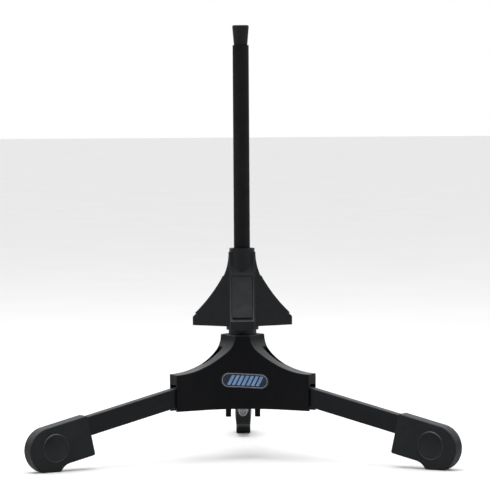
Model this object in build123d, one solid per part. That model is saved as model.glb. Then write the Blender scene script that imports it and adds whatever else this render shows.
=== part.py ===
"""Trumpet stand: a peg on a three-finned bell support, on a hub with three folding legs.

Millimetres. +Z is up, the origin is on the floor under the peg's axis, and -Y is the badge side.
Each arm, leg and fin is drawn pointing along +X, with its middle plane at Y = 0, then turned into place.
"""

from build123d import *

import os
from math import atan2, cos, radians, sin, sqrt

# Layout
LEG_ANGLES = (210, 330, 90)     # front left, front right, back
FIN_ANGLES = (270, 30, 150)     # front, back right, back left: between the legs
RUNNING = 0.05                  # radial clearance of a shaft that turns or slides
FIT_GAP = 0.03                  # round a piece that is pushed or glued into another for good
SLIDE_GAP = 0.4                 # each side of a leg in its slot
SEAT_GAP = 0.1                  # between the peg and the face it stands on
GLUE_GAP = 0.3                  # round a pad or plate let into a recess

# Hub
HUB_BOTTOM = 38.0
HUB_TOP = 93.2
ARM_LENGTH = 60.0
ARM_THICK = 12.0
ARM_END_TOP = HUB_BOTTOM + 27.6  # height of the arm's top at its end
CROWN_REACH = 12.6              # from the axis to each arm's edge of the flat top
WAIST = (17.9, HUB_TOP - 11.6)  # distance and height where the arm's top changes curve
WALL_RADIUS = 58.0              # hollow wall between two arms
HUB_EDGE = 0.8                  # rounding of the hub's upright corners
TOP_EDGE = 0.6                  # rounding along the hub's top
SOCKET_DEPTH = 15.5

# Legs
LEG_DROOP = 12.7                # degrees below level when open
PIVOT_RADIUS = 24.5
PIVOT_HEIGHT = HUB_BOTTOM + 18.0
BAR_HEIGHT = 14.3
BAR_THICK = 7.4
BAR_END = 128.5                 # from the pivot, inside the foot
BAR_EDGE = 0.8
KNUCKLE_RADIUS = 9.0
PIN_RADIUS = 2.0
PIN_WALL = 0.7                  # blind end of the pin's bore

# Slot and window in each arm
SLOT_START = 14.5
SLOT_ROOF_GAP = 2.6             # above the leg
STOP_START = 38.0               # rib that the open leg bears on
STOP_LENGTH = 3.0
WINDOW_START = 15.4
WINDOW_LENGTH = 17.0
WINDOW_INSIDE = 2.8             # from the arm's middle plane
WINDOW_RIM = 0.8
ROOF_THICK = 2.0

# Detent spring
SPRING_THICK = 0.8
SPRING_WIDTH = 6.0
SPRING_CROWN = PIVOT_HEIGHT + KNUCKLE_RADIUS + 8.4
FOLLOWER_LENGTH = 3.0

# Feet
FOOT_START = 111.3              # inner end, from the pivot
FOOT_THICK = 11.5
FOOT_TOP = 8.6                  # above the leg's middle line
FOOT_UNDER = 21.6               # below the leg's middle line
FOOT_HEEL = 132.6
FLAT_START = 141.1
FLAT_END = 155.2
TOE_START = 145.5
FOOT_CORNER = 1.5
FOOT_EDGE = 1.0
FOOT_SOCKET_GAP = 0.1
BUTTON_CENTRE = (141.6, -7.6)   # along and above the leg's middle line
BUTTON_RADIUS = 10.0
BUTTON_SINK = 0.8
BUTTON_RISE = 1.0

# Bottom cover
COVER_INSET = 1.8
COVER_REACH = 16.0
COVER_THICK = 2.0
BOSS_RADIUS = 2.1
BOSS_PLACE = 12.7
BOSS_DROP = 6.7

# Stem
SPIGOT_RADIUS = 8.0
NECK_RADIUS = 10.5
NECK_HEIGHT = 3.8
FLANGE_RADIUS = 12.2
FLANGE_HEIGHT = 2.4
STEM_RADIUS = 8.2
FLANGE_TOP = HUB_TOP + NECK_HEIGHT + FLANGE_HEIGHT
STEM_FLOOR = FLANGE_TOP + 6.6
STEM_TOP = FLANGE_TOP + 50.6

# Bell support
FIN_WIDTH = 18.0
FIN_WALL = 2.0
FIN_BLEND = 3.5                 # rounding where two fins meet
FIN_EDGE = 0.8
FLARE_TOP = (6.5, FLANGE_TOP + 56.6)  # radius and height of the fin's edge: top, knee and tip
FLARE_KNEE = (13.4, FLANGE_TOP + 34.1)
FLARE_TIP = (38.8, FLANGE_TOP + 6.2)
COLLAR_RADIUS = 9.55
COLLAR_TOP = FLANGE_TOP + 59.1
COLLAR_LENGTH = 30.0
CORE_RADIUS = 10.4
PAD_WIDTH = 15.3
PAD_PROUD = 1.4
PAD_SINK = 1.0
PAD_LOW = FLANGE_TOP + 9.0
PAD_HIGH = FLANGE_TOP + 38.2

# Peg
TUBE_RADIUS = 4.6
TUBE_WALL = 1.0
TUBE_LOW = STEM_FLOOR + 4.2
TUBE_HIGH = STEM_TOP + 151.0
SLEEVE_RADIUS = 6.1
SLEEVE_HIGH = TUBE_HIGH + 10.6
CAP_NECK_RADIUS = 5.1           # where the cap meets the sleeve
CAP_RIM_RADIUS = 6.35
CAP_TOP = SLEEVE_HIGH + 15.0
CAP_EDGE = 1.2
CAP_PLUG = 12.0                 # depth of the plug in the tube

# Tie bolt, through stem, hub and cover
BOLT_RADIUS = 2.0
BOLT_CLEARANCE = 0.2
BOLT_HEAD_FLATS = 7.0
BOLT_HEAD = 3.0
WASHER_RADIUS = 4.5
WASHER_THICK = 0.8
NUT_FLATS = 7.0
NUT_HEIGHT = 2.8
DOME_RADIUS = 3.2
DOME_BOTTOM = HUB_BOTTOM - 7.0
THREAD_END_GAP = 0.8

# Badge
BADGE_LENGTH = 36.0
BADGE_HEIGHT = 11.6
BADGE_THICK = 0.8
BADGE_SINK = 0.5
BADGE_MIDDLE = HUB_BOTTOM + 21.5
BADGE_SHIFT = 1.5
BADGE_TURN = 3.0                # degrees clockwise


def plate(outline, width):
    """A flat plate across the middle plane, from an outline of (radius, height)."""
    return extrude(Plane.XZ * make_face(outline), amount=width / 2, both=True)


def post(radius, low, high, place=(0, 0)):
    """An upright round bar between two heights."""
    return Pos(place[0], place[1], (low + high) / 2) * Cylinder(radius, high - low)


def hex_bar(flats, low, high):
    """An upright hexagonal bar between two heights."""
    return Pos(0, 0, low) * extrude(RegularPolygon(flats / sqrt(3), 6), amount=high - low)


def turned(shape, angle):
    return Rot(0, 0, angle) * shape


def three_ways(shape, angles):
    first, second, third = (turned(shape, angle) for angle in angles)
    return first + second + third


def star(width, reach, blend, edge):
    """Plan of three bars of one width, their inner and outer corners rounded."""
    arms = [Rot(0, 0, angle) * Pos(reach / 2, 0) * Rectangle(reach, width) for angle in (0, 120, 240)]
    plan = arms[0] + arms[1] + arms[2]
    inner = plan.vertices().sort_by_distance((0, 0, 0))[:3]
    outer = [corner for corner in plan.vertices() if corner not in inner]
    plan = fillet(outer, edge)
    return fillet(plan.vertices().sort_by_distance((0, 0, 0))[:3], blend)


def to_leg(shape):
    """Moves a shape drawn from the pivot, along the leg, to its place on the open stand."""
    return Pos(PIVOT_RADIUS, 0, PIVOT_HEIGHT) * Rot(0, LEG_DROOP, 0) * shape


def leg_top(radius):
    """Height of the open leg's upper face at a radius."""
    droop = radians(LEG_DROOP)
    return PIVOT_HEIGHT - (radius - PIVOT_RADIUS) * sin(droop) / cos(droop) + BAR_HEIGHT / 2 / cos(droop)


def arm_profile(width):
    """Solid under the arm's top line: flat crown, two tangent arcs, upright end."""
    crown = (CROWN_REACH, HUB_TOP)
    end = (ARM_LENGTH, ARM_END_TOP)
    lean = 2 * atan2(WAIST[0] - CROWN_REACH, HUB_TOP - WAIST[1])
    shoulder = TangentArc(crown, WAIST, tangent=(0, -1))
    back = TangentArc(WAIST, end, tangent=(sin(lean), -cos(lean)))
    far = -ARM_LENGTH
    rest = Polyline(end, (ARM_LENGTH, HUB_BOTTOM), (far, HUB_BOTTOM), (far, HUB_TOP), crown)
    return plate([shoulder, back, rest], width)


def leg_slot():
    """The slot that a leg lies in, open below and outwards, with the rib that stops the leg."""
    below = HUB_BOTTOM - 1
    out = ARM_LENGTH + 1
    stop_end = STOP_START + STOP_LENGTH
    knuckle_roof = PIVOT_HEIGHT + KNUCKLE_RADIUS + SLIDE_GAP
    inner = PIVOT_RADIUS + KNUCKLE_RADIUS
    outline = Polyline(
        (SLOT_START, below),
        (out, below),
        (out, leg_top(out) + SLOT_ROOF_GAP),
        (stop_end, leg_top(stop_end) + SLOT_ROOF_GAP),
        (stop_end, leg_top(stop_end) + SEAT_GAP),
        (STOP_START, leg_top(STOP_START) + SEAT_GAP),
        (STOP_START, leg_top(STOP_START) + SLOT_ROOF_GAP),
        (inner, knuckle_roof),
        (SLOT_START, knuckle_roof),
        close=True,
    )
    return plate(outline, BAR_THICK + 2 * SLIDE_GAP)


def spring_room():
    """The room over the knuckle, under a roof that follows the arm's top."""
    low = PIVOT_HEIGHT + KNUCKLE_RADIUS
    middle = WINDOW_START + WINDOW_LENGTH / 2
    width = BAR_THICK + 2 * SLIDE_GAP
    column = Pos(middle, 0, (low + HUB_TOP) / 2) * Box(WINDOW_LENGTH, width, HUB_TOP - low)
    return column & Pos(0, 0, -ROOF_THICK) * arm_profile(width)


def window(side):
    """The opening beside the spring's room, up through the arm's top and inside a thin rim."""
    low = PIVOT_HEIGHT + KNUCKLE_RADIUS + SLIDE_GAP
    middle = WINDOW_START + WINDOW_LENGTH / 2
    reach = CROWN_REACH + WALL_RADIUS
    column = Box(WINDOW_LENGTH, reach, HUB_TOP - low, align=(Align.CENTER, Align.MIN, Align.MIN))
    column = Pos(middle, WINDOW_INSIDE, low) * column
    plan = star(ARM_THICK - 2 * WINDOW_RIM, ARM_LENGTH, WALL_RADIUS + WINDOW_RIM, HUB_EDGE)
    column &= extrude(plan, amount=HUB_TOP)
    return column if side > 0 else mirror(column, about=Plane.XZ)


def wall_half_width(radius):
    """Half width of an arm at a radius, where its hollow wall widens it."""
    start = ARM_THICK / 2 / sqrt(3) + WALL_RADIUS / sqrt(3)
    return ARM_THICK / 2 + WALL_RADIUS - sqrt(WALL_RADIUS**2 - max(start - radius, 0) ** 2)


def pin_side(angle):
    """The pins go in from the side turned away from the badge."""
    return 1 if cos(radians(angle)) > 0 else -1


def pin_shape(side, clearance=0.0, beyond=0.0):
    """A hinge pin across the slot, ending inside the far wall."""
    half = wall_half_width(PIVOT_RADIUS)
    start = -(half - PIN_WALL)
    length = 2 * half - PIN_WALL + beyond
    bar = Cylinder(PIN_RADIUS + clearance, length, align=(Align.CENTER, Align.CENTER, Align.MIN))
    across = Pos(0, start, 0) * Rot(-90, 0, 0) * bar
    return Pos(PIVOT_RADIUS, 0, PIVOT_HEIGHT) * (across if side > 0 else Rot(0, 0, 180) * across)


def cover_plan(gap=0.0):
    """Plan of the bottom cover: the hub's own plan, drawn in and cut round."""
    inset = COVER_INSET - gap
    whole = star(ARM_THICK - 2 * inset, ARM_LENGTH, WALL_RADIUS + inset, HUB_EDGE)
    return Rot(0, 0, LEG_ANGLES[0]) * whole & Circle(COVER_REACH + gap)


def badge_shape(gap=0.0, deeper=0.0):
    """A long rounded plate that follows the hollow wall on the badge side."""
    wall = -(ARM_THICK / sqrt(3) + WALL_RADIUS * (2 / sqrt(3) - 1))
    outline = SlotOverall(BADGE_LENGTH + 2 * gap, BADGE_HEIGHT + 2 * gap)
    block = extrude(Plane.XZ * outline, amount=2 * WALL_RADIUS, both=True)
    centre = (0, wall - WALL_RADIUS)
    inner = WALL_RADIUS - (BADGE_THICK - BADGE_SINK)
    outer = WALL_RADIUS + BADGE_SINK + deeper
    ring = post(outer, 0, HUB_TOP, centre) - post(inner, 0, HUB_TOP, centre)
    front = Pos(0, wall, BADGE_MIDDLE) * Box(BADGE_LENGTH * 2, WALL_RADIUS, HUB_TOP)
    return ring & (Pos(BADGE_SHIFT, 0, BADGE_MIDDLE) * Rot(0, BADGE_TURN, 0) * block) & front


def hub_housing():
    body = extrude(star(ARM_THICK, ARM_LENGTH, WALL_RADIUS, HUB_EDGE), amount=HUB_TOP)
    for angle in (0, 120, 240):
        body &= turned(arm_profile(2 * ARM_LENGTH), angle)
    body = fillet([edge for edge in body.edges() if edge.center().Z > ARM_END_TOP - SEAT_GAP], TOP_EDGE)
    body = Rot(0, 0, LEG_ANGLES[0]) * body
    body -= three_ways(leg_slot() + spring_room(), LEG_ANGLES)
    for angle in LEG_ANGLES:
        side = pin_side(angle)
        body -= turned(window(side) + pin_shape(side, beyond=1), angle)
    body -= post(SPIGOT_RADIUS + FIT_GAP, HUB_TOP - SOCKET_DEPTH, HUB_TOP + 1)
    body -= post(BOLT_RADIUS + BOLT_CLEARANCE, HUB_BOTTOM - 1, HUB_TOP)
    body -= Pos(0, 0, HUB_BOTTOM - 1) * extrude(cover_plan(GLUE_GAP / 2), amount=COVER_THICK + 1)
    return body - badge_shape(GLUE_GAP / 2, FIT_GAP)


def hub_cover():
    body = Pos(0, 0, HUB_BOTTOM) * extrude(cover_plan(), amount=COVER_THICK)
    for angle in LEG_ANGLES:
        place = (BOSS_PLACE * cos(radians(angle)), BOSS_PLACE * sin(radians(angle)))
        body += post(BOSS_RADIUS, HUB_BOTTOM - BOSS_DROP, HUB_BOTTOM + COVER_THICK, place)
    return body - post(BOLT_RADIUS + BOLT_CLEARANCE, 0, HUB_TOP)


def leg_bar():
    half = BAR_HEIGHT / 2
    bar = Pos(BAR_END / 2, 0, 0) * Box(BAR_END, BAR_THICK, BAR_HEIGHT)
    bar = fillet(bar.edges().filter_by(Axis.X), BAR_EDGE)
    knuckle = Rot(90, 0, 0) * Cylinder(KNUCKLE_RADIUS, BAR_THICK)
    knuckle = fillet(knuckle.edges().filter_by(GeomType.CIRCLE), BAR_EDGE)
    bore = Rot(90, 0, 0) * Cylinder(PIN_RADIUS + RUNNING, BAR_THICK)
    return to_leg(bar + knuckle - bore)


def foot_outline():
    """Side view of a foot, along and above the leg's middle line; its flat lies on the floor."""
    droop = radians(LEG_DROOP)
    floor = [(s, (s * sin(droop) - PIVOT_HEIGHT) / cos(droop)) for s in (FLAT_START, FLAT_END)]
    toe = TangentArc((TOE_START, FOOT_TOP), floor[1], tangent=(1, 0))
    heel = TangentArc((FOOT_HEEL, -FOOT_UNDER), floor[0], tangent=(1, 0))
    under = Polyline(floor[1], floor[0])
    rest = Polyline(
        (FOOT_HEEL, -FOOT_UNDER), (FOOT_START, -FOOT_UNDER), (FOOT_START, FOOT_TOP), (TOE_START, FOOT_TOP)
    )
    return [toe, under, heel, rest]


def foot():
    face = make_face(foot_outline())
    corners = [v for v in face.vertices() if abs(v.X - TOE_START) > 0.01 and abs(v.X - FOOT_HEEL) > 0.01]
    body = extrude(Plane.XZ * fillet(corners, FOOT_CORNER), amount=FOOT_THICK / 2, both=True)
    rims = [edge for edge in body.edges() if abs(abs(edge.center().Y) - FOOT_THICK / 2) < 0.01]
    body = fillet(rims, FOOT_EDGE)
    length = BAR_END - FOOT_START
    gap = 2 * FOOT_SOCKET_GAP
    pocket = Pos(FOOT_START + length / 2, 0, 0) * Box(length, BAR_THICK + gap, BAR_HEIGHT + gap)
    body -= pocket
    for side in (1, -1):
        place = Pos(BUTTON_CENTRE[0], side * (FOOT_THICK / 2 - BUTTON_SINK / 2), BUTTON_CENTRE[1])
        body -= place * Rot(90, 0, 0) * Cylinder(BUTTON_RADIUS + GLUE_GAP, BUTTON_SINK)
    return to_leg(body)


def foot_buttons():
    """A domed disc on each side of the foot, as two solids in one node."""
    discs = []
    for side in (1, -1):
        base = Cylinder(BUTTON_RADIUS, BUTTON_SINK, align=(Align.CENTER, Align.CENTER, Align.MIN))
        sphere_radius = (BUTTON_RADIUS**2 + BUTTON_RISE**2) / (2 * BUTTON_RISE)
        dome = Pos(0, 0, BUTTON_SINK + BUTTON_RISE - sphere_radius) * Sphere(sphere_radius)
        dome &= post(BUTTON_RADIUS, BUTTON_SINK, BUTTON_SINK + BUTTON_RISE)
        start = Pos(BUTTON_CENTRE[0], side * (FOOT_THICK / 2 - BUTTON_SINK), BUTTON_CENTRE[1])
        discs.append(to_leg(start * Rot(-90 * side, 0, 0) * (base + dome)))
    return Compound(children=discs)


def detent_spring():
    """An arched leaf between the window's ends, with a follower over the leg's knuckle."""
    outer = WINDOW_LENGTH / 2 - SEAT_GAP
    middle = WINDOW_START + WINDOW_LENGTH / 2
    spring_line = SPRING_CROWN - outer
    bow = Cylinder(outer, SPRING_WIDTH) - Cylinder(outer - SPRING_THICK, SPRING_WIDTH)
    bow = Pos(middle, 0, spring_line) * Rot(90, 0, 0) * bow
    bow &= Pos(middle, 0, spring_line + outer / 2) * Box(2 * outer, SPRING_WIDTH, outer)
    low = PIVOT_HEIGHT + KNUCKLE_RADIUS + SEAT_GAP
    high = SPRING_CROWN - SPRING_THICK / 2
    follower = Pos(PIVOT_RADIUS, 0, (low + high) / 2) * Box(FOLLOWER_LENGTH, SPRING_WIDTH, high - low)
    return bow + follower


def stem():
    """Spigot, neck, flange and peg socket in one turned piece."""
    neck_top = FLANGE_TOP - FLANGE_HEIGHT
    body = post(SPIGOT_RADIUS, HUB_TOP - SOCKET_DEPTH, HUB_TOP)
    body += post(NECK_RADIUS, HUB_TOP, neck_top)
    body += post(FLANGE_RADIUS, neck_top, FLANGE_TOP)
    body += post(STEM_RADIUS, FLANGE_TOP, STEM_TOP)
    body -= post(TUBE_RADIUS + RUNNING, STEM_FLOOR, STEM_TOP + 1)
    return body - post(BOLT_RADIUS + BOLT_CLEARANCE, 0, STEM_TOP)


def flare_leans():
    """Lean of the fin's edge from upright, in radians, at the knee and at the tip."""
    knee = 2 * atan2(FLARE_KNEE[0] - FLARE_TOP[0], FLARE_TOP[1] - FLARE_KNEE[1])
    tip = 2 * atan2(FLARE_TIP[0] - FLARE_KNEE[0], FLARE_KNEE[1] - FLARE_TIP[1]) - knee
    return knee, tip


def under_flare(grow, low, width, inner=0.0):
    """Solid under the fin's curved edge, the edge moved outwards by grow, down to a height."""
    knee_lean, tip_lean = flare_leans()
    top = (FLARE_TOP[0] + grow, FLARE_TOP[1])
    knee = (FLARE_KNEE[0] + grow * cos(knee_lean), FLARE_KNEE[1] + grow * sin(knee_lean))
    tip = (FLARE_TIP[0] + grow * cos(tip_lean), FLARE_TIP[1] + grow * sin(tip_lean))
    upper = TangentArc(top, knee, tangent=(0, -1))
    lower = TangentArc(knee, tip, tangent=(sin(knee_lean), -cos(knee_lean)))
    rest = Polyline(tip, (tip[0], low), (inner, low), (inner, FLARE_TOP[1]), top)
    return plate([upper, lower, rest], width)


def pad_band(gap=0.0, deeper=0.0):
    """The strip let into a fin's edge; with gaps, the recess that it lies in."""
    width = PAD_WIDTH + 2 * gap
    low = PAD_LOW - gap
    high = PAD_HIGH + gap
    strip = under_flare(PAD_PROUD, low, width) - under_flare(-PAD_SINK - deeper, low - 1, width)
    reach = FLARE_TIP[0] + PAD_PROUD + 1
    return strip & Pos(reach / 2, 0, (low + high) / 2) * Box(reach, width, high - low)


def cone_body():
    """Three fins on a collar, hollow from below."""
    bottom = FLANGE_TOP
    plan = Rot(0, 0, FIN_ANGLES[0]) * star(FIN_WIDTH, FLARE_TIP[0], FIN_BLEND, FIN_EDGE)
    body = Pos(0, 0, bottom) * extrude(plan, amount=FLARE_TOP[1] - bottom)
    reach = FLARE_TIP[0] + FIN_WIDTH
    for angle in FIN_ANGLES:
        body &= turned(under_flare(0, bottom, 2 * reach, -reach), angle)
    body += post(COLLAR_RADIUS, COLLAR_TOP - COLLAR_LENGTH, COLLAR_TOP)
    skin = FIN_WALL + PAD_SINK
    hollow = under_flare(-skin, bottom - 1, FIN_WIDTH - 2 * FIN_WALL)
    body -= three_ways(hollow, FIN_ANGLES) - post(CORE_RADIUS, 0, COLLAR_TOP)
    body -= three_ways(pad_band(GLUE_GAP, FIT_GAP), FIN_ANGLES)
    return body - post(STEM_RADIUS + FIT_GAP, 0, COLLAR_TOP + 1)


def peg_tube():
    return post(TUBE_RADIUS, TUBE_LOW, TUBE_HIGH) - post(TUBE_RADIUS - TUBE_WALL, TUBE_LOW, TUBE_HIGH)


def peg_sleeve():
    low = STEM_TOP + SEAT_GAP
    return post(SLEEVE_RADIUS, low, SLEEVE_HIGH) - post(TUBE_RADIUS + FIT_GAP, low, SLEEVE_HIGH)


def peg_cap():
    """A plug in the tube, a neck inside the sleeve, and a head that widens to its rounded rim."""
    low = SLEEVE_HIGH + SEAT_GAP
    plug = post(TUBE_RADIUS - TUBE_WALL - FIT_GAP, TUBE_HIGH - CAP_PLUG, TUBE_HIGH)
    neck = post(TUBE_RADIUS, TUBE_HIGH, low)
    head = Cone(CAP_NECK_RADIUS, CAP_RIM_RADIUS, CAP_TOP - low, align=(Align.CENTER, Align.CENTER, Align.MIN))
    head = fillet(head.edges().sort_by(Axis.Z)[-1], CAP_EDGE)
    return plug + neck + Pos(0, 0, low) * head


def tie_bolt():
    end = DOME_BOTTOM + THREAD_END_GAP + DOME_RADIUS / 2
    return post(BOLT_RADIUS, end, STEM_FLOOR) + hex_bar(BOLT_HEAD_FLATS, STEM_FLOOR, STEM_FLOOR + BOLT_HEAD)


def tie_washer():
    low = HUB_BOTTOM - WASHER_THICK
    return post(WASHER_RADIUS, low, HUB_BOTTOM) - post(BOLT_RADIUS + BOLT_CLEARANCE, low, HUB_BOTTOM)


def cap_nut():
    """Hexagon nut with a round closed end."""
    top = HUB_BOTTOM - WASHER_THICK
    body = hex_bar(NUT_FLATS, top - NUT_HEIGHT, top)
    body += post(DOME_RADIUS, DOME_BOTTOM + DOME_RADIUS, top - NUT_HEIGHT)
    body += Pos(0, 0, DOME_BOTTOM + DOME_RADIUS) * Sphere(DOME_RADIUS)
    return body - post(BOLT_RADIUS + FIT_GAP, DOME_BOTTOM + THREAD_END_GAP + DOME_RADIUS / 2, HUB_BOTTOM)


def build():
    nodes = {
        "hub_housing": hub_housing(),
        "hub_cover": hub_cover(),
        "badge": badge_shape(),
        "stem": stem(),
        "cone_body": cone_body(),
        "peg_tube": peg_tube(),
        "peg_sleeve": peg_sleeve(),
        "peg_cap": peg_cap(),
        "tie_bolt": tie_bolt(),
        "tie_washer": tie_washer(),
        "cap_nut": cap_nut(),
    }
    for name, angle in zip(("front", "right", "left"), FIN_ANGLES):
        nodes[f"cone_pad_{name}"] = turned(pad_band(), angle)
    for name, angle in zip(("left", "right", "back"), LEG_ANGLES):
        nodes[f"leg_{name}"] = turned(leg_bar(), angle)
        nodes[f"foot_{name}"] = turned(foot(), angle)
        nodes[f"foot_buttons_{name}"] = turned(foot_buttons(), angle)
        nodes[f"pivot_pin_{name}"] = turned(pin_shape(pin_side(angle)), angle)
        nodes[f"detent_spring_{name}"] = turned(detent_spring(), angle)
    return nodes


os.makedirs("parts", exist_ok=True)
for node, shape in build().items():
    export_step(shape, f"parts/{node}.step")
    print(node, round(shape.volume))
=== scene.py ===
"""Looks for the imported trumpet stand: materials, badge, button lips, studio and camera.

Metres, in the row's frame. -Y is the badge side.
"""

from math import cos, pi, radians, sin, sqrt

import bpy
from mathutils import Matrix, Quaternion, Vector


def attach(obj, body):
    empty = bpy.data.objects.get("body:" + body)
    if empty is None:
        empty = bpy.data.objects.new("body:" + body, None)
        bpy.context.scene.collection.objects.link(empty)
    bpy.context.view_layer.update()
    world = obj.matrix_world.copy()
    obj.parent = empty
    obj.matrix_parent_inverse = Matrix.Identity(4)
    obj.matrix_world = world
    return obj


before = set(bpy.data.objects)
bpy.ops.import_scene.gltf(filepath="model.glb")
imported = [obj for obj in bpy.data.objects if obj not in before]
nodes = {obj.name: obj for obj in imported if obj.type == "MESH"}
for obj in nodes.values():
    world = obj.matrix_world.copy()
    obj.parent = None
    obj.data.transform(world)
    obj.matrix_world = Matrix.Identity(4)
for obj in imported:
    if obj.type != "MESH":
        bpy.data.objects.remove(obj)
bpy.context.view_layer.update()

# Hub wall and badge, as part.py draws them
ARM_THICK = 0.012
WALL_RADIUS = 0.058
BADGE_LENGTH = 0.036
BADGE_HEIGHT = 0.0116
BADGE_PROUD = 0.0003
BADGE_CENTRE = (0.0015, 0.0595)     # along the wall and up
BADGE_TURN = radians(3)

# Legs and buttons, as part.py draws them
LEGS = {"left": 210, "right": 330, "back": 90}
LEG_DROOP = radians(12.7)
PIVOT = (0.0245, 0, 0.056)
FOOT_THICK = 0.0115
BUTTON_CENTRE = (0.1416, -0.0076)   # along and above the leg's middle line
BUTTON_RADIUS = 0.01

# Marks on the badge
RIM_INSET = 0.0009
RIM_SECTION = (
    (-0.00028, -0.0001), (-0.00028, 0.0001), (-0.00014, 0.0002),
    (0.00014, 0.0002), (0.00028, 0.0001), (0.00028, -0.0001),
)                                   # outwards and proud of the face
ARC_STEPS = 24
STRAIGHT_STEPS = 16
STRIPE_MIDDLES = (-0.0104, -0.0068, -0.0032, 0.0004, 0.0040, 0.0076, 0.0112)
STRIPE_WIDTH = 0.0024
STRIPE_LEAN = 0.45
STRIPE_MARGIN = 0.0021              # between a stripe's end and the badge's edge
STRIPE_STEPS = 6
STRIPE_LAYERS = ((0, -0.0001), (0, 0.00008), (0.00008, 0.00014))   # drawn in, proud of the face

# Lip round each button
LIP_THIN = 0.00022
LIP_SWELL = 0.00034
LIP_CREST = radians(80)             # from the leg's outward direction, upwards
LIP_GAP = 0.0001
LIP_AROUND = 64
LIP_SECTION = 10

# Materials and picture
# Pale tone painted on what faces up: a painted highlight, standing in for the reflection of the light above.
TOP_HIGHLIGHT_TONE = (0.11, 0.114, 0.118)
NOISE_LOW, NOISE_HIGH = 0.3, 0.7    # the part of a noise texture's range that is used
CAMERA_PLACE = (0.0023, -2.265, 0.2786)
CAMERA_AIM = (0.0023, 0, 0.157)
CAMERA_ROLL = radians(0.38)         # the photograph's own tilt
FLOOR_DROP = 0.0002                 # keeps the floor off the soles


class Nodes:
    """A node material, with short names for making and joining its nodes."""

    def __init__(self, name):
        self.material = bpy.data.materials.new(name)
        self.material.use_nodes = True
        self.tree = self.material.node_tree
        self.surface = self.tree.nodes["Principled BSDF"]

    def add(self, kind, **values):
        node = self.tree.nodes.new(kind)
        for key, value in values.items():
            if key in node.inputs:
                node.inputs[key].default_value = value
            else:
                setattr(node, key, value)
        return node

    def join(self, source, target):
        self.tree.links.new(source, target)

    def noise(self, scale, detail=3.0, stretch=(1, 1, 1)):
        """Noise in object space, its features about 1/scale metres across."""
        place = self.add("ShaderNodeTexCoord")
        mapping = self.add("ShaderNodeMapping", Scale=stretch)
        texture = self.add("ShaderNodeTexNoise", Scale=scale, Detail=detail)
        self.join(place.outputs["Object"], mapping.inputs["Vector"])
        self.join(mapping.outputs["Vector"], texture.inputs["Vector"])
        return texture.outputs["Fac"]

    def remap(self, source, low, high, to_low, to_high):
        node = self.add("ShaderNodeMapRange")
        for index, value in enumerate((low, high, to_low, to_high), start=1):
            node.inputs[index].default_value = value
        self.join(source, node.inputs[0])
        return node.outputs[0]

    def varied(self, scale, detail, to_low, to_high, stretch=(1, 1, 1)):
        """A value that wanders between two others."""
        return self.remap(self.noise(scale, detail, stretch), NOISE_LOW, NOISE_HIGH, to_low, to_high)

    def mixed(self, factor, first, second):
        """A mix of two colours; the first may be another node's output."""
        node = self.add("ShaderNodeMix", data_type="RGBA")
        if isinstance(first, tuple):
            node.inputs["A"].default_value = (*first, 1)
        else:
            self.join(first, node.inputs["A"])
        node.inputs["B"].default_value = (*second, 1)
        self.join(factor, node.inputs["Factor"])
        return node.outputs["Result"]

    def edges(self, radius):
        """The rounded normal, and how near the surface point is to a sharp edge, 0 to 1."""
        rounded = self.add("ShaderNodeBevel", samples=6, Radius=radius)
        plain = self.add("ShaderNodeNewGeometry")
        dot = self.add("ShaderNodeVectorMath", operation="DOT_PRODUCT")
        self.join(rounded.outputs["Normal"], dot.inputs[0])
        self.join(plain.outputs["Normal"], dot.inputs[1])
        return rounded.outputs["Normal"], self.remap(dot.outputs["Value"], 0.75, 0.995, 1.0, 0.0)

    def relief(self, height, normal, strength, depth):
        bump = self.add("ShaderNodeBump", Strength=strength, Distance=depth)
        self.join(height, bump.inputs["Height"])
        self.join(normal, bump.inputs["Normal"])
        self.join(bump.outputs["Normal"], self.surface.inputs["Normal"])

    def painted_top_highlight(self, colour, top_highlight):
        """Painted highlight: a paler tone on what faces up, in patches, standing in for the reflection of the
        light above.
        """
        facing = self.add("ShaderNodeTexCoord")
        split = self.add("ShaderNodeSeparateXYZ")
        self.join(facing.outputs["Normal"], split.inputs["Vector"])
        patchy = self.add("ShaderNodeMath", operation="MULTIPLY")
        self.join(self.remap(split.outputs["Z"], 0.2, 0.95, 0.0, top_highlight), patchy.inputs[0])
        self.join(self.varied(90, 5, 0.75, 1.0), patchy.inputs[1])
        return self.mixed(patchy.outputs[0], colour, TOP_HIGHLIGHT_TONE)


def moulded(
    name, dark, light, rough, grain=2600, grain_depth=0.00004, level=0.3, soft=0.0007, stretch=(1, 1, 1), top_highlight=0.0
):
    """Moulded plastic or rubber: mottled colour, fine grain, a painted highlight on sharp edges, and a painted
    highlight on what faces up.
    """
    edge_highlight = 0.5
    n = Nodes(name)
    colour = n.mixed(n.varied(55, 5, 0.0, 1.0), dark, light)
    rounded, edge = n.edges(soft)
    # Paler near sharp edges, up to half way to a bright tone: a painted highlight.
    colour = n.mixed(n.remap(edge, 0.0, 1.0, 0.0, edge_highlight), colour, tuple(2.2 * c + 0.01 for c in light))
    # Painted highlight: what faces up is made paler, in patches.
    if top_highlight:
        colour = n.painted_top_highlight(colour, top_highlight)
    n.join(colour, n.surface.inputs["Base Color"])
    n.join(n.varied(140, 3, rough - 0.07, rough + 0.07), n.surface.inputs["Roughness"])
    n.relief(n.noise(grain, 2, stretch), rounded, 0.5, grain_depth)
    n.surface.inputs["Specular IOR Level"].default_value = level
    return n.material


def metal(name, colour, rough, brushed=0.0):
    """Plated metal, with fine drawing lines when brushed is above 0."""
    n = Nodes(name)
    n.surface.inputs["Metallic"].default_value = 1.0
    tint = n.mixed(n.varied(400, 3, 0.85, 1.0), tuple(0.6 * c for c in colour), colour)
    n.join(tint, n.surface.inputs["Base Color"])
    n.join(n.varied(900, 2, rough - 0.04, rough + 0.08, (1, 1, 0.05)), n.surface.inputs["Roughness"])
    rounded, _ = n.edges(0.0002)
    n.relief(n.noise(2400, 2, (1, 1, 0.03)), rounded, 0.2 + brushed, 0.00002)
    return n.material


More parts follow.
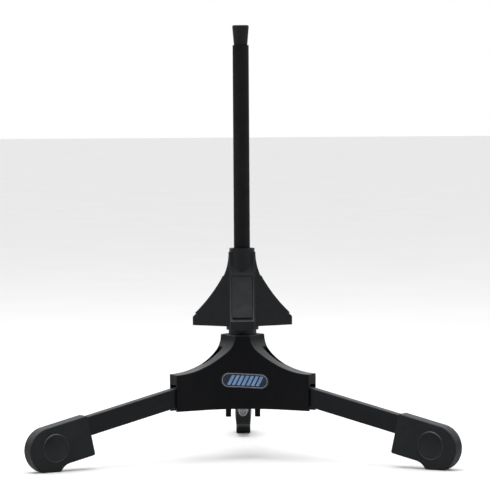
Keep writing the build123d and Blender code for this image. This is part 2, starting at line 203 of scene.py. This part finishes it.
def printed(name, dark, light, rough, metallic=0.0):
    """Smooth print or plating on the badge."""
    n = Nodes(name)
    n.join(n.mixed(n.varied(260, 4, 0.0, 1.0), dark, light), n.surface.inputs["Base Color"])
    n.join(n.varied(500, 2, rough - 0.05, rough + 0.05), n.surface.inputs["Roughness"])
    n.surface.inputs["Metallic"].default_value = metallic
    n.surface.inputs["Specular IOR Level"].default_value = 0.3
    return n.material


# top_highlight sets how much painted highlight goes on what faces up.
materials = {
    "hub": moulded(
        "hub_plastic", (0.0018, 0.0020, 0.0027), (0.0028, 0.0031, 0.0040), 0.5, level=0.09, top_highlight=1.0
    ),
    "frame": moulded(
        "frame_plastic", (0.0055, 0.0063, 0.0076), (0.0075, 0.0086, 0.0100), 0.5, level=0.16, top_highlight=0.35
    ),
    "leg": moulded(
        "leg_plastic", (0.0032, 0.0039, 0.0052), (0.0046, 0.0056, 0.0074), 0.48, level=0.14, top_highlight=0.5
    ),
    "pad": moulded(
        "pad_rubber", (0.0125, 0.0135, 0.0148), (0.0165, 0.0176, 0.0190), 0.7, 1700, 0.00008, 0.16
    ),
    "foot": moulded(
        "foot_rubber", (0.0068, 0.0086, 0.0094), (0.0095, 0.0116, 0.0126), 0.62, 1500, 0.00008, 0.16, top_highlight=0.6
    ),
    "button": moulded(
        "button_plastic", (0.0030, 0.0040, 0.0046), (0.0044, 0.0057, 0.0065), 0.36, level=0.2, soft=0.0004
    ),
    # The lip's upward faces get a strong painted highlight: the bright crescent along its crest.
    "lip": moulded(
        "button_rim_plastic", (0.0044, 0.0056, 0.0062), (0.0060, 0.0076, 0.0084), 0.3,
        level=0.5, soft=0.0001, top_highlight=2.2,
    ),
    "sleeve": moulded(
        "peg_rubber", (0.0034, 0.0030, 0.0038), (0.0056, 0.0048, 0.0060), 0.66, 1300, 0.0001, 0.12,
        stretch=(1, 1, 0.35),
    ),
    "cap": moulded(
        "cap_plastic", (0.0082, 0.0060, 0.0076), (0.0112, 0.0084, 0.0104), 0.6, 1800, 0.00006, 0.15
    ),
    "badge": printed("badge_face", (0.004, 0.007, 0.016), (0.006, 0.011, 0.024), 0.3),
    "badge_rim": printed("badge_silver", (0.16, 0.18, 0.21), (0.24, 0.27, 0.31), 0.35, 0.3),
    "badge_stripe": printed("badge_blue", (0.12, 0.22, 0.40), (0.17, 0.29, 0.50), 0.4),
    "steel": metal("zinc_steel", (0.34, 0.35, 0.36), 0.34, 0.3),
    "chrome": metal("polished_chrome", (0.13, 0.133, 0.14), 0.16),
}
# The starts of the node names that each finish goes on; the first that fits is used
finishes = {
    "hub": ("hub_housing", "hub_cover"),
    "frame": ("stem", "cone_body"),
    "pad": ("cone_pad_",),
    "leg": ("leg_",),
    "button": ("foot_buttons_",),
    "foot": ("foot_",),
    "sleeve": ("peg_sleeve",),
    "cap": ("peg_cap",),
    "badge": ("badge",),
    "chrome": ("cap_nut", "tie_washer"),
    "steel": ("peg_tube", "tie_bolt", "pivot_pin_", "detent_spring_"),
}
for name, node in nodes.items():
    finish = next(key for key, starts in finishes.items() if name.startswith(starts))
    for slot in node.material_slots:
        slot.material = materials[finish]


def new_piece(name, verts, faces, material, body, smooth=True):
    mesh = bpy.data.meshes.new(name)
    mesh.from_pydata(verts, [], faces)
    mesh.update()
    mesh.validate()
    mesh.materials.append(materials[material])
    for polygon in mesh.polygons:
        polygon.use_smooth = smooth
    piece = bpy.data.objects.new(name, mesh)
    bpy.context.scene.collection.objects.link(piece)
    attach(piece, body)


def closed_tube(around, section):
    """Faces of a ring of sections, each joined to the next and the last to the first."""
    faces = []
    for i in range(around):
        following = (i + 1) % around
        for k in range(section):
            step = (k + 1) % section
            faces.append(
                (i * section + k, i * section + step, following * section + step, following * section + k)
            )
    return faces


def on_badge(along, up, proud):
    """The point at a place along and up the badge, proud of its hollow face."""
    across = cos(BADGE_TURN) * along + sin(BADGE_TURN) * up + BADGE_CENTRE[0]
    height = cos(BADGE_TURN) * up - sin(BADGE_TURN) * along + BADGE_CENTRE[1]
    radius = WALL_RADIUS - BADGE_PROUD - proud
    centre = -(ARM_THICK / 2 + WALL_RADIUS) * 2 / sqrt(3)
    return Vector((radius * sin(across / radius), centre + radius * cos(across / radius), height))


def badge_rim():
    """A low bead round the badge, just inside its edge."""
    half = (BADGE_LENGTH - BADGE_HEIGHT) / 2
    radius = BADGE_HEIGHT / 2 - RIM_INSET
    path = []
    for side in (1, -1):
        start = -side * pi / 2
        path += [(side * half, start + pi * i / ARC_STEPS) for i in range(ARC_STEPS + 1)]
        path += [
            (side * half * (1 - 2 * i / STRAIGHT_STEPS), side * pi / 2) for i in range(1, STRAIGHT_STEPS)
        ]
    verts = [
        on_badge(centre + (radius + out) * cos(angle), (radius + out) * sin(angle), proud)
        for centre, angle in path
        for out, proud in RIM_SECTION
    ]
    new_piece("badge_rim", verts, closed_tube(len(path), len(RIM_SECTION)), "badge_rim", "hub")


def badge_stripe(index, middle):
    """A slanted bar, a little proud of the badge, with a sloping edge."""
    tall = BADGE_HEIGHT / 2 - STRIPE_MARGIN
    verts = []
    for inset, proud in STRIPE_LAYERS:
        for k in range(STRIPE_STEPS + 1):
            up = (tall - inset) * (2 * k / STRIPE_STEPS - 1)
            for side in (-1, 1):
                along = middle + STRIPE_LEAN * up + side * (STRIPE_WIDTH / 2 - inset)
                verts.append(on_badge(along, up, proud))
    row = 2 * (STRIPE_STEPS + 1)
    loop = list(range(0, row, 2)) + list(range(row - 1, 0, -2))
    faces = []
    for base in (0, row):
        for a, b in zip(loop, loop[1:] + loop[:1]):
            faces.append((base + a, base + b, base + row + b, base + row + a))
    for k in range(0, 2 * STRIPE_STEPS, 2):
        top = 2 * row + k
        faces.append((top, top + 1, top + 3, top + 2))
        faces.append((k, k + 2, k + 3, k + 1))
    new_piece(f"badge_stripe_{index}", verts, faces, "badge_stripe", "hub", smooth=False)


def button_lip(leg, side):
    """A lip round a foot's button, thicker above, where it catches the light."""
    place = (
        Matrix.Rotation(radians(LEGS[leg]), 4, "Z")
        @ Matrix.Translation(PIVOT)
        @ Matrix.Rotation(LEG_DROOP, 4, "Y")
        @ Matrix.Translation((BUTTON_CENTRE[0], side * FOOT_THICK / 2, BUTTON_CENTRE[1]))
    )
    verts = []
    for i in range(LIP_AROUND):
        turn = 2 * pi * i / LIP_AROUND
        thick = LIP_THIN + LIP_SWELL * max(0.0, cos(turn - LIP_CREST)) ** 2
        for k in range(LIP_SECTION):
            angle = 2 * pi * k / LIP_SECTION
            out = BUTTON_RADIUS + LIP_GAP + thick * cos(angle)
            verts.append(place @ Vector((out * cos(turn), side * thick * sin(angle), out * sin(turn))))
    faces = closed_tube(LIP_AROUND, LIP_SECTION)
    if side < 0:
        faces = [face[::-1] for face in faces]
    name = f"button_lip_{leg}_{'a' if side > 0 else 'b'}"
    new_piece(name, verts, faces, "lip", f"leg_{leg}")


for leg in LEGS:
    for side in (1, -1):
        button_lip(leg, side)
badge_rim()
for index, middle in enumerate(STRIPE_MIDDLES):
    badge_stripe(index, middle)

# Studio: the camera sees white, and the light is bright above and behind and dark in front
scene = bpy.context.scene
scene.view_settings.view_transform = "Standard"
scene.view_settings.look = "None"
world = bpy.data.worlds.new("studio")
world.use_nodes = True
scene.world = world
tree = world.node_tree
seen = tree.nodes["Background"]
seen.inputs["Color"].default_value = (1, 1, 1, 1)
seen.inputs["Strength"].default_value = 1.0
lit = tree.nodes.new("ShaderNodeBackground")
place = tree.nodes.new("ShaderNodeTexCoord")
lean = tree.nodes.new("ShaderNodeVectorMath")
lean.operation = "DOT_PRODUCT"
lean.inputs[1].default_value = (0, 0.6, 0.9)
fade = tree.nodes.new("ShaderNodeMapRange")
for index, value in enumerate((-0.5, 1.0, 0.1, 1.5), start=1):
    fade.inputs[index].default_value = value
path = tree.nodes.new("ShaderNodeLightPath")
choose = tree.nodes.new("ShaderNodeMixShader")
for source, target in (
    (place.outputs["Generated"], lean.inputs[0]),
    (lean.outputs["Value"], fade.inputs[0]),
    (fade.outputs[0], lit.inputs["Strength"]),
    (path.outputs["Is Camera Ray"], choose.inputs[0]),
    (lit.outputs[0], choose.inputs[1]),
    (seen.outputs[0], choose.inputs[2]),
    (choose.outputs[0], tree.nodes["World Output"].inputs["Surface"]),
):
    tree.links.new(source, target)


def soft_light(name, place, size, power):
    data = bpy.data.lights.new(name, "AREA")
    data.size = size
    data.energy = power
    lamp = bpy.data.objects.new(name, data)
    scene.collection.objects.link(lamp)
    lamp.location = place
    lamp.rotation_euler = (Vector((0, 0, 0.1)) - lamp.location).to_track_quat("-Z", "Y").to_euler()


soft_light("top", (-0.1, -0.1, 1.6), 1.2, 15)
soft_light("left", (-1.4, -0.9, 0.9), 0.9, 4)
soft_light("right", (1.4, -0.9, 0.7), 0.9, 3)

bpy.ops.mesh.primitive_plane_add(size=30, location=(0, 0, -FLOOR_DROP))
floor = bpy.context.object
floor.name = "floor"
paper = Nodes("white_paper")
tint = paper.mixed(paper.varied(6, 3, 0.0, 1.0), (0.88, 0.88, 0.885), (0.9, 0.9, 0.9))
paper.join(tint, paper.surface.inputs["Base Color"])
paper.surface.inputs["Roughness"].default_value = 0.9
floor.data.materials.append(paper.material)

camera = bpy.data.objects.new("camera", bpy.data.cameras.new("camera"))
scene.collection.objects.link(camera)
scene.camera = camera
camera.data.sensor_fit = "HORIZONTAL"
camera.data.sensor_width = 36
camera.data.lens = 220.4
camera.data.clip_start = 0.1
camera.data.clip_end = 60
camera.location = CAMERA_PLACE
level = (Vector(CAMERA_AIM) - camera.location).to_track_quat("-Z", "Y")
camera.rotation_euler = (level @ Quaternion((0, 0, 1), -CAMERA_ROLL)).to_euler()
